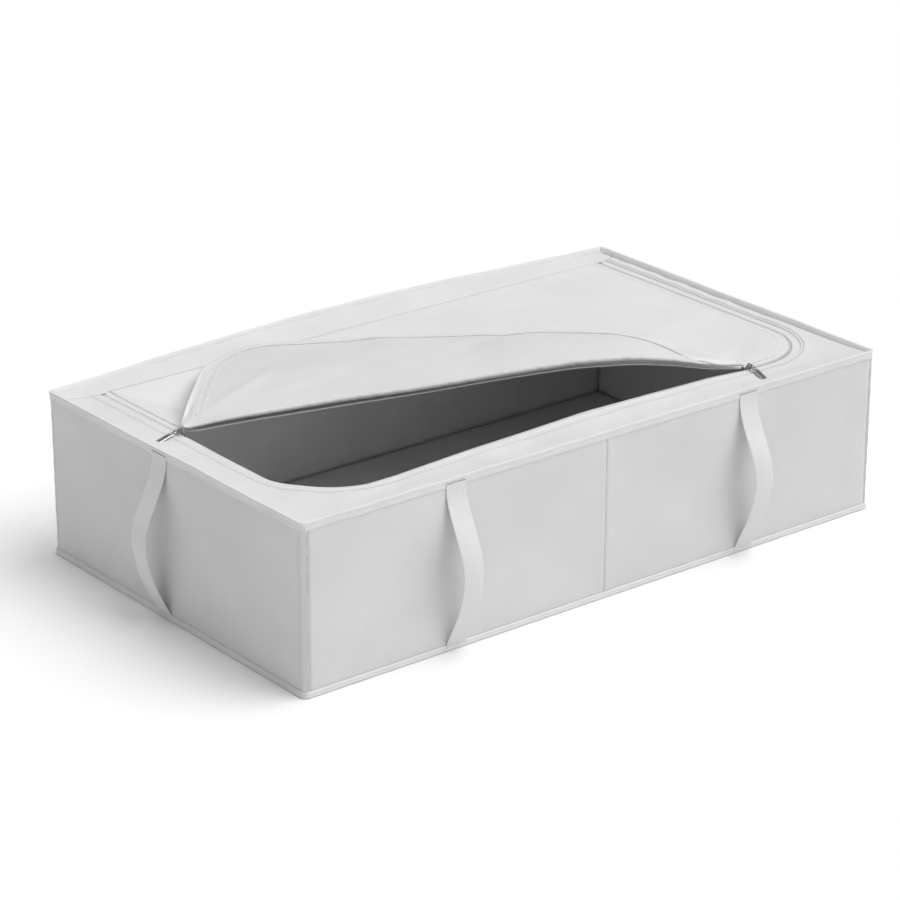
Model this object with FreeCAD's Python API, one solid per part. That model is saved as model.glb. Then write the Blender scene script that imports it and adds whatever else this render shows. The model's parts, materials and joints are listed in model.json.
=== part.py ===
import FreeCAD, Part
import math
import os

# A zipped fabric storage box, lying as it stands on a floor. Millimetres, +Z up, +X along its length.
# The front is at -Y. The origin is the centre of the bottom face.

V = FreeCAD.Vector
UP = V(0, 0, 1)

# Overall size
LENGTH = 930.0
DEPTH = 550.0
HEIGHT = 224.0

# Cloth, board and binding thicknesses
SKIN = 1.0
BOARD = 2.4
LINING = 0.8
FLOOR_BOARD = 3.0
FIT = 0.2                   # slack between a board or lining and what it is slipped into
BINDING = 3.0               # the bottom binding stands this far out of the walls
BINDING_TALL = 8.0
RIM = 4.0                   # the upright rim around the top
RIM_TALL = 11.0
RIM_PROUD = 1.5             # the rim stands this far out of the walls
CORNER_RADIUS = 6.0         # upright edges of the walls
WELT = 1.6
SEAM_WIDTH = 1.6            # sewn line down the middle of the front and back walls
SEAM_DEPTH = 0.5

# Lid opening: the line of the zip teeth, as insets from the overall size
ZIP_LEFT = 61.0
ZIP_RIGHT = 37.0
ZIP_FRONT = 68.0
LID_HINGE = 35.0            # inset of the line that the lid turns on, along the back
LID_CLEAR = 1.1             # cloth on either side ends this far from the line that the lid turns on
ZIP_CORNER = 90.0
ZIP_END = 4.0               # the zip stops this far before the lid's hinge line

# Zip: offsets are measured from the line of the teeth, to either side
TAPE_LEVEL = 215.0          # middle of the tape's thickness
TAPE = 0.7
TAPE_WIDTH = 15.0
TEETH_GAP = 0.6
TEETH_WIDTH = 2.4
TEETH_TALL = 2.4
SHEET = 1.0                 # top cloth, which lies on the tape
SHEET_SETBACK = 12.0        # the cloth's edge lies this far from the line of the teeth
STOP_LENGTH = 4.0
SLIDER_ROOM = 9.0           # lid and flap zips end this far from the middle of a slider

# Where the two sliders stand, and so where the loose corner of the lid folds back
LEFT_SLIDER_Y = 62.0
RIGHT_SLIDER_X = 300.0
FOLD_RISE = 3.0             # the fold's axis lies this far above the tape
FLAP_ARCH = 36.0            # rise of the folded flap between its fold and its edge
FLAP_ARCH_SKEW = 1.5
FLAP_FLAT_EDGE = 34.0       # strip along the flap's zip that stays level
FLAP_ZIP_START = 10.0       # the flap's zip starts this far ahead of the fold, so that it clears as it swings

# Slider, crown, link and pull tab
SLIDER_LENGTH = 13.0
SLIDER_MOUTH = 5.0          # half width at the mouth
SLIDER_TAIL = 4.2           # half width at the tail
SLIDER_CHANNEL = 1.6        # half height inside
SLIDER_PLATE = 1.2
SLIDER_SLOT = 0.8           # half height of the slot that the tape runs in
SLIDER_LIP = 0.9
WEDGE_WIDTH = 0.6
WEDGE_LENGTH = 3.0
CROWN_WIRE = 0.8
CROWN_REACH = 4.4
CROWN_BEND = 1.5
CROWN_RISE = 3.3            # the crown's bar over the slider's top plate
LINK_WIRE = 0.7
LINK_RADIUS = 2.2
LINK_LENGTH = 7.0
TAB_WIDTH = 8.5
TAB_THICK = 1.2
TAB_REACH = 52.0            # crown's bar to the far end of the tab
TAB_HOLE = 1.5
TAB_EYE = 1.3               # metal beyond the hole
TAB_NECK = 5.6
TAB_NECK_LENGTH = 7.0
TAB_GROOVE_WIDTH = 1.8
TAB_GROOVE_DEPTH = 0.35
TAB_GROOVE_END = 5.0
TAB_REST_GAP = 0.15         # tab's end over the cloth
LEFT_TAB_TURN = 16.0        # degrees from square to the zip
RIGHT_TAB_TURN = -19.0

# Carrying straps
STRAP_WIDTH = 28.0
STRAP = 1.4
STRAP_BOW = 34.0            # the middle stands this far off the wall
STRAP_SPLIT_BOW = 12.0      # the strap swings where it stands off by more than this
STRAP_SPLIT_GAP = 0.3
STRAP_POINTS = 13
FRONT_STRAP_X = 237.0
END_STRAP_Y = 20.0

# Values that follow
HALF_X = LENGTH / 2
HALF_Y = DEPTH / 2
WALL_X = HALF_X - BINDING
WALL_Y = HALF_Y - BINDING
RIM_X = WALL_X + RIM_PROUD
RIM_Y = WALL_Y + RIM_PROUD
WALL_TOP = HEIGHT - RIM_TALL
LEFT = -HALF_X + ZIP_LEFT
RIGHT = HALF_X - ZIP_RIGHT
FRONT = -HALF_Y + ZIP_FRONT
HINGE_Y = HALF_Y - LID_HINGE
SHEET_LOW = TAPE_LEVEL + TAPE / 2
FOLD_LEVEL = TAPE_LEVEL + FOLD_RISE
FAR = 2 * LENGTH
FOLD_LEFT = V(LEFT, LEFT_SLIDER_Y, FOLD_LEVEL)
FOLD_RIGHT = V(RIGHT_SLIDER_X, FRONT, FOLD_LEVEL)
FOLD_LENGTH = (FOLD_RIGHT - FOLD_LEFT).Length
FOLD_ALONG = (FOLD_RIGHT - FOLD_LEFT) * (1 / FOLD_LENGTH)
FOLD_FORWARD = FOLD_ALONG.cross(UP)


def block(x0, x1, y0, y1, z0, z1):
    return Part.makeBox(x1 - x0, y1 - y0, z1 - z0, V(x0, y0, z0))


def outline(corners, radii):
    """Closed wire through the corners, in order, each rounded to its radius. A radius of 0 leaves a corner sharp."""
    arcs = []
    for i, corner in enumerate(corners):
        to_before = (corners[i - 1] - corner).normalize()
        to_after = (corners[(i + 1) % len(corners)] - corner).normalize()
        half_turn = to_before.getAngle(to_after) / 2
        run = radii[i] / math.tan(half_turn)
        inward = (to_before + to_after).normalize()
        apex = corner + inward * (radii[i] / math.sin(half_turn) - radii[i])
        arcs.append((corner + to_before * run, apex, corner + to_after * run))
    edges = []
    for i, (start, apex, end) in enumerate(arcs):
        edges.append(Part.makeLine(arcs[i - 1][2], start))
        if radii[i] > 0:
            edges.append(Part.Arc(start, apex, end).toShape())
    return Part.Wire(edges)


def prism(corners, radii, z0, z1):
    flat = [V(x, y, z0) for x, y in corners]
    return Part.Face(outline(flat, radii)).extrude(V(0, 0, z1 - z0))


def rounded_block(half_x, half_y, radius, z0, z1):
    corners = [(-half_x, -half_y), (half_x, -half_y), (half_x, half_y), (-half_x, half_y)]
    return prism(corners, [radius] * 4, z0, z1)


def save(node, shape):
    shape.exportStep("parts/" + node + ".step")


# ---------------------------------------------------------------- walls and bottom

def make_bottom():
    """Cloth underneath, two boards side by side, and the lining over them."""
    board_low = SKIN
    lining_low = board_low + FLOOR_BOARD
    inner_x = WALL_X - SKIN - BOARD - LINING - FIT
    inner_y = WALL_Y - SKIN - BOARD - LINING - FIT
    save("bottom_skin", rounded_block(WALL_X, WALL_Y, CORNER_RADIUS, 0, SKIN))
    halves = {"left": (-inner_x, -FIT), "right": (FIT, inner_x)}
    for side, (x0, x1) in halves.items():
        save("bottom_board_" + side, block(x0, x1, -inner_y, inner_y, board_low, lining_low))
    save("bottom_lining", block(-inner_x, inner_x, -inner_y, inner_y, lining_low, lining_low + LINING))


def make_long_walls():
    """Front and back: outer cloth with a sewn line down its middle, two boards, and the lining."""
    skin_end = WALL_X - CORNER_RADIUS
    lining_end = WALL_X - SKIN - BOARD - FIT
    board_face = WALL_Y - SKIN
    lining_face = board_face - BOARD
    for name, side in (("front", -1), ("back", 1)):
        turn = 0 if side < 0 else 180
        skin = block(-skin_end, skin_end, -WALL_Y, -board_face, SKIN, WALL_TOP)
        seam = block(-SEAM_WIDTH / 2, SEAM_WIDTH / 2, -WALL_Y, -WALL_Y + SEAM_DEPTH, SKIN, WALL_TOP)
        lining = block(-lining_end, lining_end, -lining_face, LINING - lining_face, SKIN, WALL_TOP)
        boards = {
            "left": block(-skin_end, -SEAM_WIDTH, -board_face, -lining_face, SKIN, WALL_TOP - FIT),
            "right": block(SEAM_WIDTH, skin_end, -board_face, -lining_face, SKIN, WALL_TOP - FIT),
        }
        pieces = {name + "_skin": skin.cut(seam), name + "_lining": lining}
        for end, board in boards.items():
            seen_end = end if side < 0 else {"left": "right", "right": "left"}[end]
            pieces[name + "_board_" + seen_end] = board
        for node, piece in pieces.items():
            piece.rotate(V(0, 0, 0), UP, turn)
            save(node, piece)


def make_end_walls():
    """Left and right: outer cloth, one board, and the lining."""
    skin_end = WALL_Y - CORNER_RADIUS
    inner_end = WALL_Y - SKIN - BOARD - LINING - FIT
    board_face = WALL_X - SKIN
    lining_face = board_face - BOARD
    for name, turn in (("left", 0), ("right", 180)):
        pieces = {
            "_skin": block(-WALL_X, -board_face, -skin_end, skin_end, SKIN, WALL_TOP),
            "_board": block(-board_face, -lining_face, -skin_end, skin_end, SKIN, WALL_TOP - FIT),
            "_lining": block(-lining_face, LINING - lining_face, -inner_end, inner_end, SKIN, WALL_TOP),
        }
        for suffix, piece in pieces.items():
            piece.rotate(V(0, 0, 0), UP, turn)
            save(name + suffix, piece)


def make_corner_welts():
    """The sewn edge where two walls meet: a quarter ring a little thicker than the cloth."""
    inner = CORNER_RADIUS - SKIN
    for end_name, x_side in (("left", -1), ("right", 1)):
        for side_name, y_side in (("front", -1), ("back", 1)):
            centre = V(x_side * (WALL_X - CORNER_RADIUS), y_side * (WALL_Y - CORNER_RADIUS), BINDING_TALL)
            tall = WALL_TOP - BINDING_TALL
            ring = Part.makeCylinder(inner + WELT, tall, centre).cut(Part.makeCylinder(inner, tall, centre))
            xs = sorted((centre.x, centre.x + x_side * 2 * CORNER_RADIUS))
            ys = sorted((centre.y, centre.y + y_side * 2 * CORNER_RADIUS))
            quarter = block(*xs, *ys, BINDING_TALL, WALL_TOP)
            save("corner_welt_" + side_name + "_" + end_name, ring.common(quarter))


def mitred_ring(half_x, half_y, radius, thickness, z0, z1):
    """A ring around the box, cut into four lengths at its corners."""
    outer = rounded_block(half_x, half_y, radius, z0, z1)
    inner = rounded_block(half_x - thickness, half_y - thickness, radius - thickness, z0, z1)
    ring = outer.cut(inner)
    out = radius
    deep = half_y / 2
    front = [(-half_x - out, -half_y - out), (half_x + out, -half_y - out),
             (half_x - deep, deep - half_y), (deep - half_x, deep - half_y)]
    left = [(-half_x - out, half_y + out), (-half_x - out, -half_y - out),
            (deep - half_x, deep - half_y), (deep - half_x, half_y - deep)]
    sides = {"front": (front, 1), "back": (front, -1), "left": (left, 1), "right": (left, -1)}
    lengths = {}
    for name, (corners, sign) in sides.items():
        turned = [(sign * x, sign * y) for x, y in corners]
        lengths[name] = ring.common(prism(turned, [0] * 4, z0, z1))
    return lengths


def make_bindings():
    for name, length in mitred_ring(HALF_X, HALF_Y, CORNER_RADIUS + BINDING, BINDING, 0, BINDING_TALL).items():
        save("bottom_binding_" + name, length)
    radius = CORNER_RADIUS + RIM_PROUD
    for name, length in mitred_ring(RIM_X, RIM_Y, radius, RIM, WALL_TOP, HEIGHT).items():
        save("rim_" + name, length)


# ---------------------------------------------------------------- lid, flap and zip

def opening(offset, z0, z1, back=HINGE_Y):
    """The lid's outline, moved outwards by an offset on the three sides that the zip runs along."""
    corners = [(LEFT - offset, back), (LEFT - offset, FRONT - offset), (RIGHT + offset, FRONT - offset),
               (RIGHT + offset, back)]
    rounding = ZIP_CORNER + offset
    return prism(corners, [0, rounding, rounding, 0], z0, z1)


def zip_strip(near, far, z0, z1, back=HINGE_Y - ZIP_END):
    """A strip along the zip between two offsets from the line of the teeth."""
    return opening(far, z0, z1, back).cut(opening(near, z0, z1, back))


def beyond_fold(offset):
    """Everything in front of the fold line, from an offset in front of it."""
    near = FOLD_LEFT + FOLD_FORWARD * offset
    corners = [near - FOLD_ALONG * FAR, near + FOLD_ALONG * FAR]
    corners += [corners[1] + FOLD_FORWARD * FAR, corners[0] + FOLD_FORWARD * FAR]
    return prism([(c.x, c.y) for c in corners], [0] * 4, 0, 2 * HEIGHT)


def tape_levels():
    return TAPE_LEVEL - TAPE / 2, TAPE_LEVEL + TAPE / 2


def teeth_levels():
    return TAPE_LEVEL - TEETH_TALL / 2, TAPE_LEVEL + TEETH_TALL / 2


def make_border():
    """The cloth frame between the rim and the zip, and the zip's half that is sewn to it."""
    frame = rounded_block(RIM_X - RIM, RIM_Y - RIM, CORNER_RADIUS + RIM_PROUD - RIM,
                          SHEET_LOW, SHEET_LOW + SHEET)
    hole = opening(SHEET_SETBACK, SHEET_LOW, SHEET_LOW + SHEET, HINGE_Y + LID_CLEAR)
    save("top_border", frame.cut(hole))
    teeth_edge = TEETH_GAP + TEETH_WIDTH
    save("frame_tape", zip_strip(teeth_edge, TAPE_WIDTH, *tape_levels()))
    teeth = zip_strip(TEETH_GAP, teeth_edge, *teeth_levels(), HINGE_Y - ZIP_END - STOP_LENGTH)
    save("frame_teeth", teeth)


def stop_clip(x):
    """A metal clip at the end of a row of teeth, which closes on it."""
    half = TEETH_WIDTH / 2
    end = HINGE_Y - ZIP_END
    return block(x - half, x + half, end - STOP_LENGTH, end, *teeth_levels())


def make_zip_stops():
    middle = TEETH_GAP + TEETH_WIDTH / 2
    save("frame_zip_stops", Part.makeCompound([stop_clip(LEFT - middle), stop_clip(RIGHT + middle)]))
    save("lid_zip_stops", Part.makeCompound([stop_clip(LEFT + middle), stop_clip(RIGHT - middle)]))


def make_lid():
    """The part of the lid that stays zipped, and its half of the zip on the left and on the right."""
    panel = opening(-SHEET_SETBACK, SHEET_LOW, SHEET_LOW + SHEET, HINGE_Y - LID_CLEAR)
    save("lid_panel", panel.cut(beyond_fold(-3 * SHEET)))
    left_part = block(-FAR, 0, LEFT_SLIDER_Y + SLIDER_ROOM, FAR, 0, FAR)
    right_part = block(RIGHT_SLIDER_X + SLIDER_ROOM, FAR, -FAR, FAR, 0, FAR)
    teeth_edge = TEETH_GAP + TEETH_WIDTH
    tape = zip_strip(-TAPE_WIDTH, -teeth_edge, *tape_levels())
    teeth = zip_strip(-teeth_edge, -TEETH_GAP, *teeth_levels(), HINGE_Y - ZIP_END - STOP_LENGTH)
    for name, part in (("left", left_part), ("right", right_part)):
        save(name + "_lid_tape", tape.common(part))
        save(name + "_lid_teeth", teeth.common(part))


def inside_zip(place):
    """How far a place lies inside the line of the teeth, by its nearest stretch."""
    corner_x = LEFT + ZIP_CORNER
    corner_y = FRONT + ZIP_CORNER
    if place.x < corner_x and place.y < corner_y:
        return ZIP_CORNER - math.hypot(place.x - corner_x, place.y - corner_y)
    return min(place.x - LEFT, place.y - FRONT)


def flap_arch(along, ahead):
    """Rise of the folded flap over its level edge, at a place along the fold and ahead of it."""
    to_edge = inside_zip(FOLD_LEFT + FOLD_ALONG * along + FOLD_FORWARD * ahead) - FLAP_FLAT_EDGE
    along_share = along / FOLD_LENGTH
    if to_edge <= 0 or not 0 < along_share < 1:
        return 0.0
    crest = math.sin(math.pi * along_share ** FLAP_ARCH_SKEW) ** 2
    return FLAP_ARCH * crest * math.cos(math.pi / 2 * ahead / (ahead + to_edge)) ** 3


def arched_sheet():
    """The flap's cloth as it hangs when it is turned forwards: its arch then points down."""
    margin = 12.0
    deep = 240.0
    rows = 81
    columns = 61
    grid = []
    for i in range(rows):
        along = -margin + i * (FOLD_LENGTH + 2 * margin) / (rows - 1)
        row = []
        for j in range(columns):
            ahead = j * deep / (columns - 1)
            place = FOLD_LEFT + FOLD_ALONG * along + FOLD_FORWARD * ahead
            row.append(V(place.x, place.y, SHEET_LOW - flap_arch(along, ahead)))
        grid.append(row)
    surface = Part.BSplineSurface()
    surface.interpolate(grid)
    return surface.toShape().extrude(V(0, 0, SHEET))


def make_flap():
    """The unzipped corner of the lid. It is made turned forwards and then folded back over the lid."""
    room = block(-FAR, RIGHT_SLIDER_X - SLIDER_ROOM, -FAR, LEFT_SLIDER_Y - SLIDER_ROOM, 0, FAR)
    zip_room = room.common(beyond_fold(FLAP_ZIP_START))
    teeth_edge = TEETH_GAP + TEETH_WIDTH
    plan = opening(-SHEET_SETBACK, 0, HEIGHT, HINGE_Y).common(room).common(beyond_fold(SHEET))
    pieces = {
        "flap_panel": arched_sheet().common(plan),
        "flap_tape": zip_strip(-TAPE_WIDTH, -teeth_edge, *tape_levels()).common(zip_room),
        "flap_teeth": zip_strip(-teeth_edge, -TEETH_GAP, *teeth_levels()).common(zip_room),
    }
    for node, piece in pieces.items():
        piece.rotate(FOLD_LEFT, FOLD_ALONG, 180)
        save(node, piece)


# ---------------------------------------------------------------- sliders and pulls

def slider_outline(trim, z0, z1):
    half = SLIDER_LENGTH / 2
    mouth = SLIDER_MOUTH - trim
    tail = SLIDER_TAIL - trim
    corners = [(-tail, -half), (tail, -half), (mouth, 0), (mouth, half), (-mouth, half), (-mouth, 0)]
    return prism(corners, [1.5, 1.5, 3.0, 2.0, 2.0, 3.0], z0, z1)


def slider_body():
    """Two plates joined by the wedge at the mouth, with a lip on each side that guides the tape.
    It runs along Y with its mouth at +Y, about the middle of the tape."""
    top = SLIDER_CHANNEL + SLIDER_PLATE
    wedge_y = SLIDER_LENGTH / 2 - 1
    body = block(-WEDGE_WIDTH / 2, WEDGE_WIDTH / 2, wedge_y - WEDGE_LENGTH, wedge_y, -top, top)
    for side in (-1, 1):
        plate_levels = sorted((side * SLIDER_CHANNEL, side * top))
        lip_levels = sorted((side * SLIDER_SLOT, side * SLIDER_CHANNEL))
        lip = slider_outline(0, *lip_levels).cut(slider_outline(SLIDER_LIP, *lip_levels))
        ends = block(SLIDER_LIP - SLIDER_TAIL, SLIDER_TAIL - SLIDER_LIP, -SLIDER_LENGTH, SLIDER_LENGTH, *lip_levels)
        body = body.fuse(slider_outline(0, *plate_levels)).fuse(lip.cut(ends))
    return body.removeSplitter()


def crown_bar_level():
    return SLIDER_CHANNEL + SLIDER_PLATE + CROWN_RISE


def slider_crown():
    """A bent wire over the slider, from its tail to its mouth."""
    foot = SLIDER_CHANNEL + SLIDER_PLATE
    bar = crown_bar_level()
    corner = CROWN_REACH - CROWN_BEND * (1 - math.sqrt(0.5))
    lift = bar - CROWN_BEND * (1 - math.sqrt(0.5))
    edges = [
        Part.makeLine(V(0, -CROWN_REACH, foot), V(0, -CROWN_REACH, bar - CROWN_BEND)),
        Part.Arc(V(0, -CROWN_REACH, bar - CROWN_BEND), V(0, -corner, lift),
                 V(0, CROWN_BEND - CROWN_REACH, bar)).toShape(),
        Part.makeLine(V(0, CROWN_BEND - CROWN_REACH, bar), V(0, CROWN_REACH - CROWN_BEND, bar)),
        Part.Arc(V(0, CROWN_REACH - CROWN_BEND, bar), V(0, corner, lift),
                 V(0, CROWN_REACH, bar - CROWN_BEND)).toShape(),
        Part.makeLine(V(0, CROWN_REACH, bar - CROWN_BEND), V(0, CROWN_REACH, foot)),
    ]
    section = Part.Wire(Part.makeCircle(CROWN_WIRE, V(0, -CROWN_REACH, foot), UP))
    return Part.Wire(edges).makePipeShell([section], True, False)


def pull_link():
    """A wire ring through the crown. It stands upright, from the crown's bar towards -X."""
    near = V(0, 0, crown_bar_level())
    far = V(-LINK_LENGTH, 0, crown_bar_level())
    lift = V(0, 0, LINK_RADIUS)
    edges = [
        Part.makeLine(near + lift, far + lift),
        Part.Arc(far + lift, far - V(LINK_RADIUS, 0, 0), far - lift).toShape(),
        Part.makeLine(far - lift, near - lift),
        Part.Arc(near - lift, near + V(LINK_RADIUS, 0, 0), near + lift).toShape(),
    ]
    section = Part.Wire(Part.makeCircle(LINK_WIRE, near + lift, V(1, 0, 0)))
    return Part.Wire(edges).makePipeShell([section], True, False)


def tab_pivot_reach():
    return LINK_LENGTH + LINK_RADIUS


def pull_tab():
    """A flat tab with a narrower eye at its near end and a groove along the middle of both faces."""
    level = crown_bar_level()
    low = level - TAB_THICK / 2
    high = level + TAB_THICK / 2
    near = -tab_pivot_reach() + TAB_HOLE + TAB_EYE
    shoulder = near - TAB_NECK_LENGTH
    corners = [(near, -TAB_NECK / 2), (near, TAB_NECK / 2), (shoulder, TAB_NECK / 2),
               (shoulder - 1, TAB_WIDTH / 2), (-TAB_REACH, TAB_WIDTH / 2), (-TAB_REACH, -TAB_WIDTH / 2),
               (shoulder - 1, -TAB_WIDTH / 2), (shoulder, -TAB_NECK / 2)]
    tab = prism(corners, [2.2, 2.2, 0, 0, 2.0, 2.0, 0, 0], low, high)
    tab = tab.cut(Part.makeCylinder(TAB_HOLE, TAB_THICK, V(-tab_pivot_reach(), 0, low)))
    groove_ends = (TAB_GROOVE_END - TAB_REACH, shoulder - TAB_GROOVE_END)
    half = TAB_GROOVE_WIDTH / 2
    for floor in (low, high - TAB_GROOVE_DEPTH):
        tab = tab.cut(block(*groove_ends, -half, half, floor, floor + TAB_GROOVE_DEPTH))
    return tab


def make_slider(name, place, mouth_turn, pull_turn, tab_turn):
    """Slider, crown, link and tab at a place on the zip. The mouth is turned from +Y and the link from -X, in
    degrees. The tab slopes down onto the cloth outside the zip, turned from square to it."""
    drop = crown_bar_level() - TAB_THICK / 2 - (SHEET_LOW + SHEET - TAPE_LEVEL) - TAB_REST_GAP
    tilt = math.degrees(math.asin(drop / TAB_REACH))
    bar = V(0, 0, crown_bar_level())
    link = pull_link()
    tab = pull_tab()
    tab.rotate(V(-tab_pivot_reach(), 0, 0), UP, tab_turn)
    for hanging in (link, tab):
        hanging.rotate(bar, V(0, 1, 0), -tilt)
    pieces = {
        "_slider_body": (slider_body(), mouth_turn),
        "_slider_crown": (slider_crown(), mouth_turn),
        "_pull_link": (link, pull_turn),
        "_pull_tab": (tab, pull_turn),
    }
    for suffix, (piece, turn) in pieces.items():
        piece.rotate(V(0, 0, 0), UP, turn)
        piece.translate(place)
        save(name + suffix, piece)


def make_sliders():
    make_slider("left", V(LEFT, LEFT_SLIDER_Y, TAPE_LEVEL), 180, 0, LEFT_TAB_TURN)
    make_slider("right", V(RIGHT_SLIDER_X, FRONT, TAPE_LEVEL), 90, 90, RIGHT_TAB_TURN)


# ---------------------------------------------------------------- carrying straps

def strap_point(share, side):
    """A point on a face of the strap: share runs from its lower end to its upper end, side is -1 on the
    inner face and 1 on the outer face. The strap hangs on the plane y = 0 and bows towards -Y."""
    low = BINDING_TALL
    tall = WALL_TOP - low
    bow = STRAP / 2 + STRAP_BOW * math.sin(math.pi * share) ** 2
    slope = STRAP_BOW * math.pi * math.sin(2 * math.pi * share) / tall
    length = math.hypot(1, slope)
    return V(0, -bow - side * STRAP / 2 / length, low + share * tall + side * STRAP / 2 * slope / length)


def whole_strap():
    shares = [i / (STRAP_POINTS - 1) for i in range(STRAP_POINTS)]
    faces = []
    for side in (-1, 1):
        curve = Part.BSplineCurve()
        curve.interpolate([strap_point(share, side) for share in shares])
        faces.append(curve)
    ends = [Part.makeLine(strap_point(share, -1), strap_point(share, 1)) for share in (0, 1)]
    wire = Part.Wire([faces[0].toShape(), ends[1], faces[1].toShape(), ends[0]])
    strap = Part.Face(wire).extrude(V(STRAP_WIDTH, 0, 0))
    strap.translate(V(-STRAP_WIDTH / 2, 0, 0))
    return strap


def make_straps():
    """Each strap is one length of webbing. Its two sewn ends stay still and the loop between them swings."""
    split = math.asin(math.sqrt(STRAP_SPLIT_BOW / STRAP_BOW)) / math.pi
    tall = WALL_TOP - BINDING_TALL
    low = BINDING_TALL + split * tall
    high = WALL_TOP - split * tall
    places = {
        "front_left_handle": (0, V(-FRONT_STRAP_X, -WALL_Y, 0)),
        "front_right_handle": (0, V(FRONT_STRAP_X, -WALL_Y, 0)),
        "left_handle": (-90, V(-WALL_X, END_STRAP_Y, 0)),
        "right_handle": (90, V(WALL_X, END_STRAP_Y, 0)),
    }
    for node, (turn, place) in places.items():
        strap = whole_strap()
        loop = strap.common(block(-FAR, FAR, -FAR, FAR, low, high))
        ends = strap.cut(block(-FAR, FAR, -FAR, FAR, low - STRAP_SPLIT_GAP, high + STRAP_SPLIT_GAP))
        for name, piece in ((node, loop), (node + "_ends", ends)):
            piece.rotate(V(0, 0, 0), UP, turn)
            piece.translate(place)
            save(name, piece)


os.makedirs("parts", exist_ok=True)
make_bottom()
make_long_walls()
make_end_walls()
make_corner_welts()
make_bindings()
make_border()
make_zip_stops()
make_lid()
make_flap()
make_sliders()
make_straps()
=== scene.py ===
import json
import math

import bpy
import numpy as np
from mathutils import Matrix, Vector
from mathutils.geometry import delaunay_2d_cdt


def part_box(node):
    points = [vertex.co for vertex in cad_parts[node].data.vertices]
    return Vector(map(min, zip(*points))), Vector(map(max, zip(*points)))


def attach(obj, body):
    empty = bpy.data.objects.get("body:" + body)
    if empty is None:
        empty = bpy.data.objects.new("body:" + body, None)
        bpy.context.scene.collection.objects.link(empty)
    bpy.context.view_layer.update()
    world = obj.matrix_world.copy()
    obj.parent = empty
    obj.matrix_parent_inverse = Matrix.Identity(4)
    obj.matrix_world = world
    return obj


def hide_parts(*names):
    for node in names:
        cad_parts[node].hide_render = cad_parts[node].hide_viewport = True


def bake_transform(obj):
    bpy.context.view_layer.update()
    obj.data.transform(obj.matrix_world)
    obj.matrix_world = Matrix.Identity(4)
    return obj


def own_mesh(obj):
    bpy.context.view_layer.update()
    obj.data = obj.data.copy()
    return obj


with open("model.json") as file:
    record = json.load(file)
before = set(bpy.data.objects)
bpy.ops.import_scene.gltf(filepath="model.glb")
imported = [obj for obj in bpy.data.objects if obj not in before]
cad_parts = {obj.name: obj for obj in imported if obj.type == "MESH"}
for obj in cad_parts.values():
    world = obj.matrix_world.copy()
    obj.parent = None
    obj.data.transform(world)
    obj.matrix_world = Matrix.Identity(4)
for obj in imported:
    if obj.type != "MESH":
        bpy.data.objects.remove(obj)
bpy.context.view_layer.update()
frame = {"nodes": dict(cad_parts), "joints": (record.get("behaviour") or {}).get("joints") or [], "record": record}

MM = 0.001
UP = np.array([0.0, 0.0, 1.0])


# ---------------------------------------------------------------- sizes read from the frame

def joint(name):
    return next(j for j in frame["joints"] if j["name"] == name)


LEFT, LEFT_Y = joint("left_pull_lift")["pos_m"][:2]
RIGHT_X, FRONT = joint("right_pull_lift")["pos_m"][:2]
HINGE_Y = joint("lid_turn")["pos_m"][1]
FOLD_Z = joint("flap_fold")["pos_m"][2]
TEETH_EDGE = 3.0 * MM           # far edge of a row of teeth, from the line where the two rows meet
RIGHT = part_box("frame_teeth")[1].x - TEETH_EDGE
SEAM_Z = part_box("frame_tape")[1].z          # face where the cloth lies on the zip's tape
WALL_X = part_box("right_skin")[1].x
WALL_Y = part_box("back_skin")[1].y
RIM_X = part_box("rim_right")[1].x
RIM_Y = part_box("rim_back")[1].y
RIM_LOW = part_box("rim_front")[0].z
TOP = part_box("rim_front")[1].z
FOOT_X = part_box("bottom_binding_right")[1].x
FOOT_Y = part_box("bottom_binding_back")[1].y
FOOT_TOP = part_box("bottom_binding_front")[1].z
INSIDE_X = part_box("right_lining")[0].x
INSIDE_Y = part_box("back_lining")[0].y
INSIDE_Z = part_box("bottom_lining")[1].z
ZIP_CORNER = 90 * MM
TAPE_WIDTH = 15 * MM
CLOTH_EDGE = 12 * MM            # the cloth's folded edge, from the line of the teeth
RIM_WIDE = 4.2 * MM
WALL_FOOT = 4 * MM              # the wall's cloth starts here, inside the bottom binding
WALL_TOP = TOP - 5 * MM         # and ends here, inside the rim
CLOTH_THICK = 1.0 * MM
BORDER_THICK = 1.1 * MM
HEM_STITCH = 4.2 * MM           # row of stitches, from the cloth's edge
HEM_ROWS = (0, 0.8, 1.6, 2.4, 3.2, 3.7, 4.2, 4.7, 5.2, 6, 7, 8.5)

FOLD_START = np.array([LEFT, LEFT_Y])
FOLD_VECTOR = np.array([RIGHT_X - LEFT, FRONT - LEFT_Y])
FOLD_LENGTH = float(np.hypot(*FOLD_VECTOR))
ALONG = FOLD_VECTOR / FOLD_LENGTH
AHEAD = np.array([ALONG[1], -ALONG[0]])
FLAP_SEAM_Z = 2 * FOLD_Z - SEAM_Z           # the same face on the folded flap


# ---------------------------------------------------------------- small helpers

def ease(t):
    t = np.clip(t, 0, 1)
    return t * t * (3 - 2 * t)


def through(stations, values, softness):
    """A smooth curve near the given values, as a function that takes arrays."""
    grid = np.linspace(stations[0], stations[-1], 401)
    rough = np.interp(grid, stations, values)
    reach = max(1, int(softness / (grid[1] - grid[0])))
    kernel = np.hanning(2 * reach + 3)
    padded = np.concatenate([np.full(reach + 1, rough[0]), rough, np.full(reach + 1, rough[-1])])
    smooth = np.convolve(padded, kernel / kernel.sum(), mode="valid")
    return lambda at: np.interp(at, grid, smooth)


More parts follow.
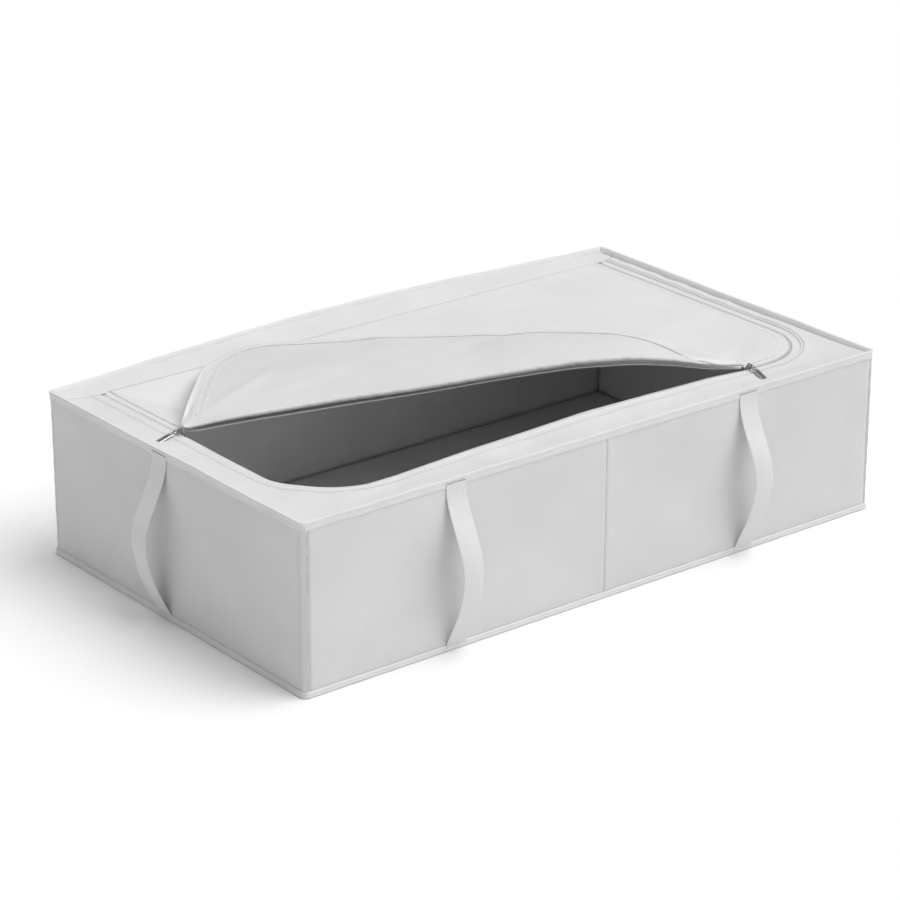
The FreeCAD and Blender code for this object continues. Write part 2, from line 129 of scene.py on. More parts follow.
def ripple(x, y, size, seed, stretch=1.0):
    """Soft random waves about zero, roughly one high, with wavelengths near the given size."""
    draw = np.random.default_rng(seed)
    total = np.zeros(np.broadcast(x, y).shape)
    for _ in range(7):
        turn = draw.uniform(0, 2 * math.pi)
        length = size * draw.uniform(0.7, 1.7)
        phase = draw.uniform(0, 2 * math.pi)
        total += np.sin((x * math.cos(turn) / stretch + y * math.sin(turn)) * 2 * math.pi / length + phase)
    return total / 3.5


def bell(distance, half):
    """A soft hump: one where the distance is nothing, and falling off over half."""
    return np.exp(-(distance / half) ** 2)


def run_along(line):
    """How far along a line of points each of them is."""
    return np.concatenate([[0], np.cumsum(np.linalg.norm(np.diff(line, axis=0), axis=1))])


def places_at(at, run, line):
    """Places on a line of points whose distances along it are run."""
    return np.stack([np.interp(at, run, line[:, k]) for k in range(line.shape[1])], axis=1)


def unit(vectors):
    return vectors / np.maximum(np.linalg.norm(vectors, axis=-1, keepdims=True), 1e-9)


def make_object(name, points, faces, uv=None, smooth=True):
    mesh = bpy.data.meshes.new(name)
    mesh.from_pydata(np.asarray(points, float).tolist(), [], faces)
    if uv is not None:
        corner = np.zeros(len(mesh.loops), np.int32)
        mesh.loops.foreach_get("vertex_index", corner)
        layer = mesh.uv_layers.new(name="cloth")
        layer.data.foreach_set("uv", np.asarray(uv, np.float32)[corner].ravel())
    mesh.polygons.foreach_set("use_smooth", [smooth] * len(mesh.polygons))
    mesh.validate()
    piece = bpy.data.objects.new(name, mesh)
    bpy.context.scene.collection.objects.link(piece)
    return piece


def grid_faces(rows, columns, wrap_rows=False, wrap_columns=False):
    faces = []
    for i in range(rows if wrap_rows else rows - 1):
        for j in range(columns if wrap_columns else columns - 1):
            i2 = (i + 1) % rows
            j2 = (j + 1) % columns
            faces.append((i * columns + j, i * columns + j2, i2 * columns + j2, i2 * columns + j))
    return faces


def grid_object(name, points, uv=None):
    """Points are rows by columns by 3. Without uv, the cloth's threads follow the rows' own lengths."""
    rows, columns = points.shape[:2]
    if uv is None:
        lengths = np.meshgrid(run_along(points[:, columns // 2]), run_along(points[rows // 2]), indexing="ij")
        uv = np.stack(lengths, axis=-1)
    return make_object(name, points.reshape(-1, 3), grid_faces(rows, columns), uv.reshape(-1, 2))


def thicken(piece, thickness, side=1):
    """Gives a sheet its thickness: side is 1 for the side its normals point to, and -1 for the other."""
    solid = piece.modifiers.new("thickness", "SOLIDIFY")
    solid.thickness = thickness
    solid.offset = side
    return piece


def tube_faces(rows, columns):
    """Faces of a closed tube of rings, with a cap on each end."""
    caps = [tuple(range(columns)), tuple(reversed(range((rows - 1) * columns, rows * columns)))]
    return grid_faces(rows, columns, wrap_columns=True) + caps


def sweep(name, centres, outs, section):
    """Carries a closed section along a line. Its first number goes outwards and its second upwards."""
    points = centres[:, None] + outs[:, None] * section[None, :, :1] + UP * section[None, :, 1:]
    uv = np.stack(np.meshgrid(run_along(centres), run_along(section), indexing="ij"), axis=-1)
    return make_object(name, points.reshape(-1, 3), tube_faces(*points.shape[:2]), uv.reshape(-1, 2))


def resample(line, pitch):
    """Places along a line at an even pitch, with the direction at each."""
    run = run_along(line)
    at = np.arange(pitch / 2, run[-1] - pitch / 2, pitch)
    found = places_at(at, run, line)
    return found, unit(places_at(at + pitch / 4, run, line) - found)


def stitches(name, rows, body, material=None):
    """Separate sewn stitches along each row: a line of points, and the direction its face looks."""
    pitch = 3.4 * MM
    length = 2.7 * MM
    half = 0.33 * MM
    ring = [(math.cos(a), math.sin(a)) for a in np.linspace(0, 2 * math.pi, 5, endpoint=False)]
    profile = [(-0.5, 0.25, -0.8), (-0.3, 1.0, 0.25), (0.3, 1.0, 0.25), (0.5, 0.25, -0.8)]
    stitch_faces = grid_faces(len(profile), len(ring), wrap_columns=True)
    points = []
    faces = []
    for line, normal in rows:
        for place, ahead in zip(*resample(line, pitch)):
            side = np.cross(normal, ahead)
            base = len(points)
            for reach, round_, lift in profile:
                centre = place + ahead * reach * length + normal * lift * half
                points += [centre + (side * c + normal * s) * half * round_ for c, s in ring]
            faces += [tuple(base + k for k in face) for face in stitch_faces]
    piece = make_object(name, points, faces, np.zeros((len(points), 2)))
    return dress(piece, body, "binding", material or THREAD)


def dress(piece, body, slot, material):
    piece.data.materials.append(material)
    if body:
        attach(piece, body)
    return piece


def sew(piece, node, body, slot, material, **sheet):
    """Dresses a sheet that rides on a body and stands for a node of the CAD, whose part it hides."""
    dress(piece, body, slot, material)
    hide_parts(node)


# ---------------------------------------------------------------- materials

class Nodes:
    """A short way to write a material's nodes."""

    def __init__(self, name):
        self.material = bpy.data.materials.new(name)
        self.material.use_nodes = True
        self.tree = self.material.node_tree
        self.shader = self.tree.nodes["Principled BSDF"]

    def add(self, kind, inputs=(), **settings):
        node = self.tree.nodes.new("ShaderNode" + kind)
        for key, value in settings.items():
            setattr(node, key, value)
        for key, value in dict(inputs).items():
            self.feed(value, node.inputs[key])
        return node

    def feed(self, value, socket):
        if isinstance(value, bpy.types.NodeSocket):
            self.tree.links.new(value, socket)
        else:
            socket.default_value = value

    def math(self, operation, a, b=0.0):
        return self.add("Math", {0: a, 1: b}, operation=operation).outputs[0]

    def noise(self, vector, scale, detail=3.0):
        return self.add("TexNoise", {"Vector": vector, "Scale": scale, "Detail": detail}).outputs["Fac"]

    def spread(self, value, low, high, start=0.3, end=0.7):
        sockets = {"Value": value, "From Min": start, "From Max": end, "To Min": low, "To Max": high}
        return self.add("MapRange", sockets).outputs["Result"]

    def tint(self, share, dark, light):
        ramp = self.add("ValToRGB", {"Fac": share})
        ramp.color_ramp.elements[0].color = (*dark, 1)
        ramp.color_ramp.elements[1].color = (*light, 1)
        return ramp.outputs["Color"]

    def place(self):
        return self.add("TexCoord").outputs["Object"]

    def stretched(self, scale):
        return self.add("Mapping", {"Vector": self.place(), "Scale": scale}).outputs["Vector"]

    def bump(self, height, distance, strength, normal=None):
        node = self.add("Bump", {"Height": height, "Distance": distance, "Strength": strength})
        if normal is not None:
            self.tree.links.new(normal, node.inputs["Normal"])
        return node.outputs["Normal"]

    def finish(self, colour, roughness, normal):
        for name, value in (("Base Color", colour), ("Roughness", roughness), ("Normal", normal)):
            self.feed(value, self.shader.inputs[name])
        return self.material


def cloth_material(name, light, dark, thread, depth, crease=0.5, sheen=0.25, rough=0.72, rib=0.0, flat=False):
    """Woven cloth. In millimetres: its threads' pitch and depth, how deep it is creased, and its raised cords'
    pitch. When flat, the weave follows the object's own axes instead of the cloth."""
    n = Nodes(name)
    place = n.place() if flat else n.add("UVMap", uv_map="cloth").outputs["UV"]
    apart = n.add("SeparateXYZ", {0: place})
    warp = n.math("SINE", n.math("MULTIPLY", apart.outputs["X"], math.pi / (thread * MM)))
    weft = n.math("SINE", n.math("MULTIPLY", apart.outputs["Y"], math.pi / (thread * MM)))
    weave = n.math("MULTIPLY", warp, weft)
    slub = n.noise(place, 900.0, 2.0)
    height = n.math("ADD", weave, n.math("MULTIPLY", slub, 1.4))
    normal = n.bump(n.noise(place, 38.0, 4.0), crease * MM, 0.55)
    if rib:
        cords = n.math("SINE", n.math("MULTIPLY", apart.outputs["Y"], 2 * math.pi / (rib * MM)))
        normal = n.bump(cords, 0.25 * MM, 0.7, normal)
    normal = n.bump(height, depth * MM, 0.6, normal)
    patches = n.noise(place, 9.0, 5.0)
    worn = n.math("ADD", n.math("MULTIPLY", patches, 0.75), n.math("MULTIPLY", slub, 0.25))
    n.shader.inputs["Sheen Weight"].default_value = sheen
    n.shader.inputs["Sheen Roughness"].default_value = 0.45
    n.shader.inputs["Specular IOR Level"].default_value = 0.3
    colour = n.tint(n.spread(worn, 0.0, 1.0, 0.34, 0.62), dark, light)
    return n.finish(colour, n.spread(slub, rough - 0.06, rough + 0.1), normal)


def metal_material(name, light, dark, rough):
    n = Nodes(name)
    brushed = n.noise(n.stretched((2.0, 9.0, 9.0)), 420.0, 3.0)
    stain = n.noise(n.place(), 260.0, 4.0)
    n.shader.inputs["Metallic"].default_value = 1.0
    return n.finish(n.tint(n.spread(stain, 0.0, 1.0), dark, light),
                    n.spread(brushed, rough - 0.06, rough + 0.12), n.bump(brushed, 0.02 * MM, 0.4))


def nylon_material(name, light, dark):
    n = Nodes(name)
    grain = n.noise(n.place(), 700.0, 2.0)
    return n.finish(n.tint(grain, dark, light), n.spread(grain, 0.32, 0.5), n.bump(grain, 0.04 * MM, 0.3))


def board_material(name):
    n = Nodes(name)
    fibre = n.noise(n.stretched((1.0, 1.0, 6.0)), 240.0, 6.0)
    colour = n.tint(n.spread(fibre, 0, 1), (0.30, 0.24, 0.17), (0.52, 0.44, 0.34))
    return n.finish(colour, n.spread(fibre, 0.8, 0.95), n.bump(fibre, 0.3 * MM, 0.6))


CLOTH = cloth_material("cloth", (0.72, 0.72, 0.725), (0.665, 0.665, 0.675), 0.9, 0.09)
LID_CLOTH = cloth_material("lid_cloth", (0.75, 0.75, 0.76), (0.70, 0.70, 0.712), 0.9, 0.07,
                           crease=0.35, sheen=0.35, rough=0.6)
# A greyer copy of the lid cloth for the folded flap's upturned face: painted shade.
FLAP_SHADED_CLOTH = cloth_material("lid_cloth_back", (0.70, 0.70, 0.712), (0.64, 0.64, 0.655), 0.9, 0.07,
                            crease=0.4, sheen=0.3, rough=0.66)
LINING = cloth_material("lining", (0.86, 0.86, 0.86), (0.80, 0.80, 0.805), 1.6, 0.06,
                        crease=0.6, sheen=0.1, rough=0.85)
BINDING = cloth_material("binding", (0.85, 0.85, 0.86), (0.79, 0.79, 0.80), 1.1, 0.12,
                         sheen=0.3, rough=0.65, rib=1.9)
TAPE = cloth_material("zip_tape", (0.86, 0.86, 0.87), (0.80, 0.80, 0.81), 0.8, 0.1,
                      crease=0.2, sheen=0.3, rough=0.62, rib=1.3)
WEBBING = cloth_material("webbing", (0.80, 0.80, 0.81), (0.735, 0.735, 0.745), 1.25, 0.2,
                         crease=0.3, sheen=0.35, rough=0.68, rib=2.5)
THREAD = cloth_material("thread", (0.86, 0.86, 0.86), (0.78, 0.78, 0.78), 0.4, 0.05, crease=0.05, flat=True)
# A dark grey copy of the white thread for the border's stitches: painted shade of the hem's groove.
PAINTED_SHADE_THREAD = cloth_material("grey_thread", (0.44, 0.44, 0.45), (0.36, 0.36, 0.37), 0.4, 0.05,
                             crease=0.05, flat=True)
NYLON = nylon_material("nylon", (0.88, 0.88, 0.89), (0.78, 0.78, 0.79))
METAL = metal_material("nickel", (0.86, 0.85, 0.83), (0.66, 0.65, 0.63), 0.2)
# A darker copy of the nickel: painted shade, for the pull's groove and the sliders' links and crowns.
SHADED_METAL = metal_material("worn_nickel", (0.34, 0.33, 0.31), (0.12, 0.12, 0.11), 0.3)
BOARD = board_material("board")


# ---------------------------------------------------------------- the zip's line

def zip_line():
    """Points on the line where the teeth meet, from left end to right end, and the way out at each."""
    step = 3 * MM
    centre_y = FRONT + ZIP_CORNER
    left_x = LEFT + ZIP_CORNER
    right_x = RIGHT - ZIP_CORNER
    points = []
    outs = []

    def straight(start, end, out):
        count = int(math.dist(start, end) / step)
        for k in range(count):
            points.append(np.array(start) + (np.array(end) - np.array(start)) * k / count)
            outs.append(np.array(out, float))

    def bend(x, first):
        count = int(ZIP_CORNER * math.pi / 2 / step)
        for k in range(count):
            turn = first + math.pi / 2 * k / count
            outs.append(np.array([math.cos(turn), math.sin(turn)]))
            points.append(np.array([x, centre_y]) + outs[-1] * ZIP_CORNER)

    straight((LEFT, HINGE_Y), (LEFT, centre_y), (-1, 0))
    bend(left_x, math.pi)
    straight((left_x, FRONT), (right_x, FRONT), (0, -1))
    bend(right_x, 1.5 * math.pi)
    straight((RIGHT, centre_y), (RIGHT, HINGE_Y + step / 2), (1, 0))
    return np.array(points), np.array(outs)


ZIP, ZIP_OUT = zip_line()
ZIP_RUN = run_along(ZIP)
AT_LEFT = int(np.argmin(np.hypot(*(ZIP - FOLD_START).T)))
AT_RIGHT = int(np.argmin(np.hypot(*(ZIP - np.array([RIGHT_X, FRONT])).T)))
OPEN_RUN = ZIP_RUN[AT_RIGHT] - ZIP_RUN[AT_LEFT]

# The frame's loose edge stands up by this much, at shares of the way from the left slider to the right
LOOSE_RISE = through([0, 0.03, 0.09, 0.20, 0.25, 0.30, 0.34, 0.38, 0.44, 0.50, 0.60, 0.70, 0.80, 0.93, 1],
                     np.array([0, 1, 0, 0, 3.5, 2, 0, 0, 2.5, 5, 7, 10, 8, 5, 0]) * MM, 0.02)


def rise_at(index):
    return LOOSE_RISE((ZIP_RUN[index] - ZIP_RUN[AT_LEFT]) / OPEN_RUN)


def rim_bow(x):
    """The back of the box bellies out: by this share at a place along it."""
    return np.cos(np.clip(x / WALL_X, -1, 1) * math.pi / 2) ** 1.3


BAND_FRONT = HINGE_Y - 1.2 * MM   # the back band starts under the lid's back edge
BOW_OUT = 17 * MM
BOW_UP = 7 * MM
RIM_RISE = 3.8 * MM             # the frame's cloth meets the rim this far above the zip


def border_height(x, y):
    """Upper face of the frame's cloth, before its loose edge rises: it falls from the rim towards the zip."""
    from_side = RIM_X - RIM_WIDE - np.abs(x)
    from_end = RIM_Y - RIM_WIDE - np.abs(y)
    near = np.minimum(from_side, from_end)
    rise = RIM_RISE * (1 - 0.55 * ease((x - 0.40) / 0.03) * ease((y + 0.26) / 0.05))
    tuck = 1.1 * MM * bell(np.maximum(near, 0), 2.5 * MM)
    join = 1.3 * MM * bell(x - 3 * MM, 2 * MM) * ease((FRONT - 14 * MM - y) / (6 * MM))
    return SEAM_Z + rise * (1 - ease(near / (34 * MM))) - tuck - join


def border_waves(x, y):
    return 0.7 * MM * ripple(x, y, 60 * MM, 5)


def reach_to_rim(index):
    """From the zip's line to just inside the rim, the way the zip's edge faces."""
    reach = np.full(len(index), 9.0)
    for axis, limit in ((0, RIM_X - RIM_WIDE / 2), (1, RIM_Y - RIM_WIDE / 2)):
        out = ZIP_OUT[index, axis]
        facing = np.abs(out) > 1e-6
        span = (np.sign(out[facing]) * limit - ZIP[index, axis][facing]) / out[facing]
        reach[facing] = np.minimum(reach[facing], span)
    return reach


def hem(offset, rise=0.0):
    """The cloth's turned edge and the groove its stitches pull in it, deeper where the edge stands up."""
    stands = ease(rise / (4 * MM))
    ridge = (1.5 * stands - 0.5) * MM * bell(offset - CLOTH_EDGE - 1.6 * MM, 1.6 * MM)
    groove = (0.3 + 0.6 * stands) * MM * bell(offset - CLOTH_EDGE - HEM_STITCH, 0.9 * MM)
    return ridge - groove + 0.4 * MM * bell(offset - CLOTH_EDGE - 7 * MM, 2 * MM)


def frame_side(index, offset):
    """Places on the frame's side of the zip: offset is how far out they are from the line of the teeth."""
    plan = ZIP[index] + ZIP_OUT[index] * offset[..., None]
    reach = reach_to_rim(index)
    out_share = np.clip((offset - CLOTH_EDGE) / (reach - CLOTH_EDGE), 0, 1)
    rise = rise_at(index)
    curl = np.clip(1 - offset / CLOTH_EDGE, 0, 1) ** 1.5
    z = border_height(plan[:, 0], plan[:, 1]) + rise * (0.7 * (1 - out_share) ** 1.4 + 0.3 * curl)
    fold = 1.3 * MM * bell(offset - CLOTH_EDGE + 1.2 * MM, 1.2 * MM)
    z = z + border_waves(plan[:, 0], plan[:, 1]) * ease(offset / (20 * MM))
    z = z + hem(offset, rise) - fold * ease(rise / (4 * MM))
    return np.concatenate([plan, z[:, None]], axis=1)


# ---------------------------------------------------------------- the lid and its folded corner

def along_fold(places, heights, softness):
    """A curve along the fold, all in millimetres. Its last height is at the fold's end."""
    return through([*np.array(places) * MM, FOLD_LENGTH], np.array(heights) * MM, softness * MM)


# Heights of the fold and of the flap's loose edge above the flap's level when closed, and the roll's radius
FOLD_HEIGHT = along_fold((0, 60, 210, 310, 427, 522, 595, 647, 700), (0, 6, 14, 17, 24, 28, 25, 17, 5, 0), 26)
EDGE_HEIGHT = along_fold((0, 40, 90, 148, 250, 345, 430, 504, 600, 650, 690),
                         (1, 1, 5, 14, 24, 31, 38, 42, 42, 36, 22, 0), 24)
ROLL = along_fold((0, 80, 300, 560, 680), (1.0, 2.4, 3.2, 3.6, 2.4, 1.0), 30)
ROLL_RUN = 16 * MM              # cloth ahead of the fold that goes into the roll


def fold_frame(plan):
    """Distances along the fold, and ahead of it, of places on the zipped lid."""
    rel = plan - FOLD_START
    return rel @ ALONG, rel @ AHEAD


def deepest(along):
    """How far ahead of the fold the zip's line is, at a place along the fold."""
    s, a = fold_frame(ZIP[AT_LEFT:AT_RIGHT + 1])
    order = np.argsort(s)
    return np.interp(along, s[order], np.maximum(a[order], 1 * MM))


# Soft ridges in the cloth. Each starts and ends at a place along the fold and ahead of it, in metres, and has
# a rise and a half width, in millimetres
FLAP_CREASES = (
    (0.02, 0.005, 0.16, 0.125, 2.4, 9), (0.05, 0.002, 0.30, 0.085, -1.8, 12),
    (0.13, 0.13, 0.24, 0.055, 1.5, 8), (0.27, 0.19, 0.36, 0.09, 1.6, 11),
    (0.34, 0.05, 0.50, 0.12, -1.6, 14), (0.48, 0.15, 0.60, 0.04, 1.7, 12),
    (0.57, 0.10, 0.70, 0.03, 2.2, 10), (0.62, 0.07, 0.74, 0.012, -2.0, 7),
    (0.20, 0.03, 0.42, 0.035, 1.2, 9),
)
LID_CREASES = (
    (0.00, -0.01, 0.16, -0.09, -2.6, 11), (0.01, -0.03, 0.10, -0.17, 2.2, 9),
    (0.10, -0.02, 0.34, -0.05, -2.4, 14), (0.12, -0.16, 0.36, -0.10, 2.0, 13),
    (0.30, -0.22, 0.55, -0.16, -1.6, 16), (0.70, -0.03, 0.62, -0.16, 1.5, 15),
    (0.73, -0.02, 0.80, -0.10, -1.4, 12), (0.45, -0.05, 0.60, -0.12, 1.2, 15),
)


def inside_zip(plan):
    """How far places lie inside the line of the teeth."""
    x, y = plan.T
    corner_x = LEFT + ZIP_CORNER
    corner_y = FRONT + ZIP_CORNER
    round_part = ZIP_CORNER - np.hypot(x - corner_x, y - corner_y)
    return np.where((x < corner_x) & (y < corner_y), round_part, np.minimum(x - LEFT, y - FRONT))


def flap_hem(plan):
    """The flap's turned edge, seen from its inner side: a stitched groove and the hem's raw edge."""
    depth = inside_zip(plan)
    groove = 0.9 * MM * bell(depth - 19 * MM, 1.4 * MM)
    return 0.9 * MM * (1 - ease((depth - 23 * MM) / (2.5 * MM))) * ease(depth / (18 * MM)) - groove


def creases(along, ahead, lines):
    """Height of soft ridges and valleys, each fading out towards its ends."""
    total = np.zeros(np.broadcast(along, ahead).shape)
    for s0, a0, s1, a1, rise, half in lines:
        length = math.hypot(s1 - s0, a1 - a0)
        run = ((along - s0) * (s1 - s0) + (ahead - a0) * (a1 - a0)) / length
        off = ((along - s0) * (a1 - a0) - (ahead - a0) * (s1 - s0)) / length
        share = np.clip(run / length, 0, 1)
        total += rise * MM * np.sin(math.pi * share) * bell(off, half * MM)
    return total


def flap_place(plan):
    """Where a place on the zipped corner goes when the corner lies folded back."""
    along, ahead = fold_frame(plan)
    depth = deepest(along)
    along_in = np.clip(along, 0, FOLD_LENGTH)
    fold = FOLD_HEIGHT(along_in)
    edge = EDGE_HEIGHT(along_in)
    run = np.minimum(ROLL_RUN, 0.6 * depth)
    roll = np.minimum(ROLL(along_in), run / 4)
    share = np.clip(ahead / run, 0, 1)
    turn = math.pi * np.clip(2 * share, 0, 1)
    back = np.where(ahead < run, run * np.clip(2 * share - 1, 0, 1), ahead) - roll * np.sin(turn)
    past = np.clip(back / np.maximum(depth, 1 * MM), 0, 1.2)
    arch = np.sin(math.pi * np.clip(past, 0, 1))
    crown = 7 * MM * arch * ease(depth / (90 * MM))
    hollow = 9 * MM * bell(along - 0.885 * FOLD_LENGTH, 45 * MM) * arch ** 2
    top = fold + 2 * roll
    height = fold + roll * (1 - np.cos(turn)) + (edge - top) * ease(past * 0.96) * (edge > top)
    height = height + (edge - top) * past * (edge <= top) + (crown - hollow) * ease(past * 4)
    waves = 1.2 * MM * ripple(along, ahead, 110 * MM, 21, 2.2)
    height = height + waves * ease(past * 3) * ease(depth / (60 * MM))
    tip = bell(along - 0.03 * FOLD_LENGTH, 45 * MM)
    height = height + 7 * MM * tip * ease((past - 0.70) / 0.30) ** 1.3
    loose = ease(past * 3) * ease(depth / (50 * MM))
    height = height + (1.4 * creases(along, ahead, FLAP_CREASES) + flap_hem(plan)) * loose
    spot = FOLD_START + along[:, None] * ALONG - back[:, None] * AHEAD
    return np.concatenate([spot, (FLAP_SEAM_Z + height)[:, None]], axis=1)


def lid_height(plan):
    """Under side of the lid's cloth: it rises to the fold, and sags behind it on the left."""
    along, ahead = fold_frame(plan)
    behind = np.maximum(-ahead, 0)
    along_in = np.clip(along, 0, FOLD_LENGTH)
    inside = (along > 0) * (along < FOLD_LENGTH)
    rise = FOLD_HEIGHT(along_in) * bell(behind, 75 * MM) * inside
    x, y = plan.T
    to_zip = np.minimum(np.minimum(x - LEFT, RIGHT - x), HINGE_Y - y)
    free = ease(to_zip / (70 * MM))
    sag = 19 * MM * np.exp(-((x + 0.28) / 0.13) ** 2 - ((y - 0.17) / 0.09) ** 2)
    swell = 5 * MM * np.exp(-((x - 0.22) / 0.18) ** 2 - ((y - 0.07) / 0.13) ** 2)
    waves = 1.3 * MM * ripple(x, y, 150 * MM, 9, 1.4) + 1.4 * creases(along, ahead, LID_CREASES)
    beside_zip = ease(to_zip / (18 * MM)) * (1 - ease(to_zip / (50 * MM)))
    puckers = 0.6 * MM * ripple(x, y, 24 * MM, 13) * beside_zip
    return SEAM_Z + rise + free * (swell - sag + waves) + puckers + hem(to_zip)


def plan_mesh(border, spacing, extra):
    """Flat triangles that fill a closed border, with inner points at an even spacing and along extra rows."""
    border = np.asarray(border)
    spans = [np.arange(low, high, spacing) for low, high in zip(border.min(0), border.max(0))]
    xs, ys = np.meshgrid(*spans, indexing="ij")
    xs = xs + (np.arange(xs.shape[1]) % 2 * spacing / 2)[None, :]
    inner = np.stack([xs.ravel(), ys.ravel()], axis=1)
    placed = np.arange(len(inner) + sum(len(row) for row in extra)) >= len(inner)
    inner = np.concatenate([inner, *extra])
    after = np.roll(border, -1, axis=0)
    keep = np.zeros(len(inner), bool)
    for a, b in zip(border, after):
        crosses = (a[1] > inner[:, 1]) != (b[1] > inner[:, 1])
        if crosses.any():
            at = (b[0] - a[0]) * (inner[:, 1] - a[1]) / (b[1] - a[1] + 1e-12) + a[0]
            keep ^= crosses & (inner[:, 0] < at)
    gap = np.min(np.stack([np.hypot(*(inner - p).T) for p in border]), axis=0) / (1 - 0.7 * placed)
    inner = inner[keep & (gap > 0.45 * spacing)]
    count = len(border)
    every = [Vector(p) for p in np.concatenate([border, inner])]
    edges = [(k, (k + 1) % count) for k in range(count)]
    verts, _, faces, _, _, _ = delaunay_2d_cdt(every, edges, [], 1, 1e-6)
    return np.array([tuple(v) for v in verts]), faces


def evenly(points, step):
    """A polyline's points at about the given step, ends kept."""
    points = np.asarray(points, float)
    run = run_along(points)
    return places_at(np.linspace(0, run[-1], max(2, int(run[-1] / step) + 1)), run, points)


def inner_edge(first, last, offset=CLOTH_EDGE):
    """The line inside the zip at an offset, between two places on it."""
    index = np.arange(first, last + 1)
    return ZIP[index] - ZIP_OUT[index] * offset


def make_lid():
    left_edge = inner_edge(0, AT_LEFT)
    right_edge = inner_edge(AT_RIGHT, len(ZIP) - 1)
    fold_ends = [FOLD_START + ALONG * 13 * MM, FOLD_START + ALONG * (FOLD_LENGTH - 11 * MM)]
    parts = [evenly(left_edge, 6 * MM), evenly(fold_ends, 6 * MM), evenly(right_edge, 6 * MM),
             evenly([right_edge[-1], left_edge[0]], 6 * MM)[1:-1]]
    rows = []
    for row in HEM_ROWS[1:]:
        offset = CLOTH_EDGE + row * MM
        rows.append(evenly(inner_edge(0, AT_LEFT - 2, offset), 7 * MM)[1:])
        rows.append(evenly(inner_edge(AT_RIGHT + 12, len(ZIP) - 1, offset), 7 * MM)[:-1])
    plan, faces = plan_mesh(np.concatenate(parts), 6 * MM, rows)
    points = np.concatenate([plan, lid_height(plan)[:, None]], axis=1)
    lid = thicken(make_object("lid_cloth", points, faces, plan), CLOTH_THICK)
    sew(lid, "lid_panel", "lid", "cloth", LID_CLOTH, flat=(RIGHT - LEFT, HINGE_Y - FRONT), held="stretched",
        rests_on=["rim_left", "rim_back"], area=surface(lid))
    flatten(lid)


def flatten(piece):
    """Gives a part its own copy of its mesh."""
    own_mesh(piece)


def surface(piece):
    return round(sum(face.area for face in piece.data.polygons), 3)


def make_flap():
    edge = inner_edge(AT_LEFT, AT_RIGHT)
    depth = fold_frame(edge)[1]
    edge = edge[depth > 1.5 * MM]
    s_ends = fold_frame(edge)[0]
    fold = [FOLD_START + ALONG * s_ends[-1], FOLD_START + ALONG * s_ends[0]]
    rows = []
    for ahead in np.array([1.2, 2.6, 4, 5.5, 7, 8.5, 10, 12, 14.5, 18, 22]) * MM:
        rows.append(evenly([f + AHEAD * ahead for f in fold], 7 * MM)[1:-1])
    for offset in (15, 16.5, 17.5, 18.3, 19, 19.7, 20.5, 22, 23.2, 24.3, 25.5, 28):
        row = evenly(inner_edge(AT_LEFT + 4, AT_RIGHT - 4, offset * MM), 7 * MM)
        rows.append(row[fold_frame(row)[1] > 24 * MM])
    border = np.concatenate([evenly(edge, 5 * MM), evenly(fold, 7 * MM)])
    plan, faces = plan_mesh(border, 6 * MM, rows)
    flap = make_object("flap_cloth", flap_place(plan), [tuple(reversed(f)) for f in faces], plan)
    thicken(flap, CLOTH_THICK, -1)
    # The flap's upturned face takes the greyer copy of the lid cloth, painted shade; its other face takes the lid
    # cloth.
    sew(flap, "flap_panel", "flap", "cloth", FLAP_SHADED_CLOTH, flat=(FOLD_LENGTH, float(depth.max())), held="folded",
        rests_on=["lid_panel"], area=surface(flap))
    flap.data.materials.append(LID_CLOTH)
    flap.modifiers["thickness"].material_offset = 1
    flatten(flap)


def strip_grid(index, offsets, place):
    return np.stack([place(index, np.full(len(index), offset)) for offset in offsets], axis=1)


def lid_side(index, offset):
    plan = ZIP[index] - ZIP_OUT[index] * offset[..., None]
    return np.concatenate([plan, lid_height(plan)[:, None]], axis=1)


def flap_side(index, offset):
    return flap_place(ZIP[index] - ZIP_OUT[index] * offset[..., None])


TAPE_CLOTH = {"box": "top_border_cloth", "lid": "lid_cloth", "flap": "flap_cloth"}


def tape(name, body, node, index, place, lift, side):
    """One half of the zip's woven tape, lying against the cloth."""
    offsets = np.array([0.35, 1.5, 3, 5, 7, 8.6, 9.8, 10.8, 11.8, 13, 15]) * MM
    grid = strip_grid(index, offsets, place) + UP * lift
    piece = thicken(grid_object(name, grid), 0.7 * MM, side)
    length = float(ZIP_RUN[index[-1]] - ZIP_RUN[index[0]])
    sew(piece, node, body, "zip_tape", TAPE, flat=(TAPE_WIDTH, length), held="stretched",
        rests_on=[TAPE_CLOTH[body]])
    flatten(piece)


def coil(name, body, node, index, place, lift, phase):
    """One row of the zip's nylon teeth: a flattened helix on the edge of the tape."""
    pitch = 1.7 * MM
    sides = 8
    run = ZIP_RUN[index]
    first = math.ceil(run[0] / pitch)
    turns = int(run[-1] / pitch) - first - 1
    along = (first + np.arange(turns * sides) / sides + phase) * pitch
    angle = (np.arange(turns * sides) % sides) / sides * 2 * math.pi
    inner = place(index, np.full(len(index), 0.45 * MM))
    outer = place(index, np.full(len(index), 3.2 * MM))
    inner, outer = [places_at(along, run, line) for line in (inner, outer)]
    across = (1 - np.cos(angle))[:, None] / 2
    centres = inner * (1 - across) + outer * across
    centres[:, 2] += lift + 0.55 * MM * np.sin(angle)
    ahead = unit(np.gradient(centres, axis=0))
    side = unit(np.cross(ahead, unit(outer - inner)))
    other = np.cross(ahead, side)
    wire = 0.38 * MM
    ring = [side * wire, other * wire, -side * wire, -other * wire]
    points = np.stack([centres + r for r in ring], axis=1)
    piece = make_object(name, points.reshape(-1, 3), grid_faces(len(centres), 4, wrap_columns=True),
                        np.zeros((len(centres) * 4, 2)))
    dress(piece, body, "zip_teeth", NYLON)
    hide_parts(node)
    flatten(piece)


